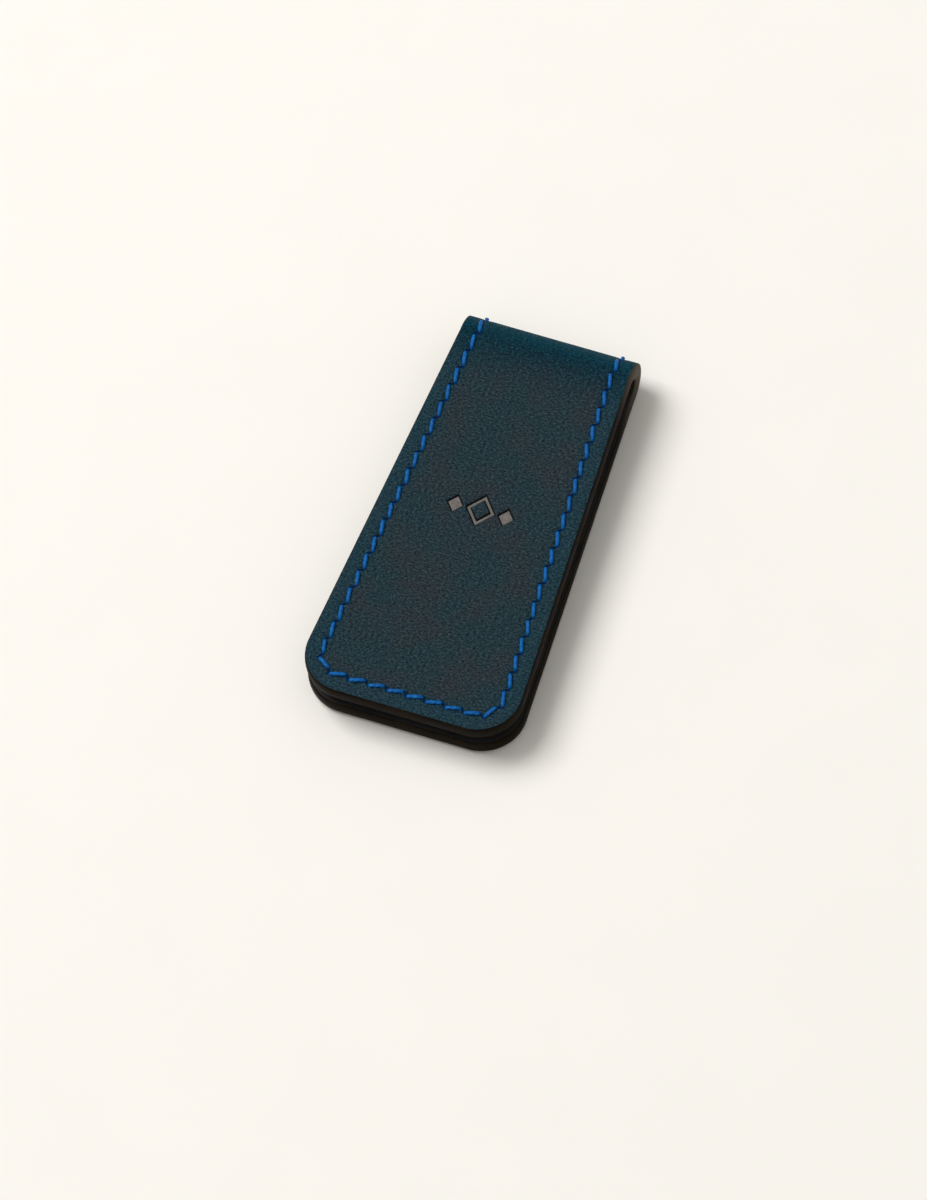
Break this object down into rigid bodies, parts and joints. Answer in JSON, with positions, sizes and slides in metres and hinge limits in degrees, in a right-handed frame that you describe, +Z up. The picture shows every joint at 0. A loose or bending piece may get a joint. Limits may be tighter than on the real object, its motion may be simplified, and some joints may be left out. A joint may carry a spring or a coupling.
{
  "type": "money clip",
  "caption": "Folded leather money clip: a tapered stitched strip bent in half, with a disc magnet hidden in each arm that grips folded notes.",
  "frame": {"origin": "centre of the clip's bounding box, on the surface that the lower arm lies on", "axes": "+X across the clip, +Y along the arms from the rounded tips to the fold, +Z up from the lower arm to the upper arm"},
  "size_m": [0.0376, 0.0735, 0.0088],
  "materials": {
    "outer_leather": "waxed pull-up leather, dark teal blue, satin",
    "filler_leather": "vegetable-tanned leather with dark burnished edges",
    "lining_leather": "smooth dark lining leather, matt",
    "nickel_plate": "bright nickel plating on a sintered magnet",
    "waxed_thread": "waxed twisted polyester thread, bright blue"
  },
  "bodies": {
    "lower_arm": {"outer_lower": "outer_leather", "filler_lower": "filler_leather", "lining_lower": "lining_leather", "magnet_lower": "nickel_plate", "stitches_lower": "waxed_thread", "outer_bend": "outer_leather", "filler_bend": "filler_leather", "lining_bend": "lining_leather", "stitches_bend": "waxed_thread"},
    "upper_arm": {"outer_upper": "outer_leather", "filler_upper": "filler_leather", "lining_upper": "lining_leather", "magnet_upper": "nickel_plate", "stitches_upper": "waxed_thread"}
  },
  "joints": [
    {"name": "bend_flex", "type": "hinge", "parent": "lower_arm", "child": "upper_arm", "pos_m": [0, 0.03485, 0.0044], "axis": [-1, 0, 0], "range_deg": [-1.5, 60], "stiffness_Nm_per_rad": 0.2, "deforming": ["outer_bend", "filler_bend", "lining_bend", "stitches_bend"]}
  ]
}
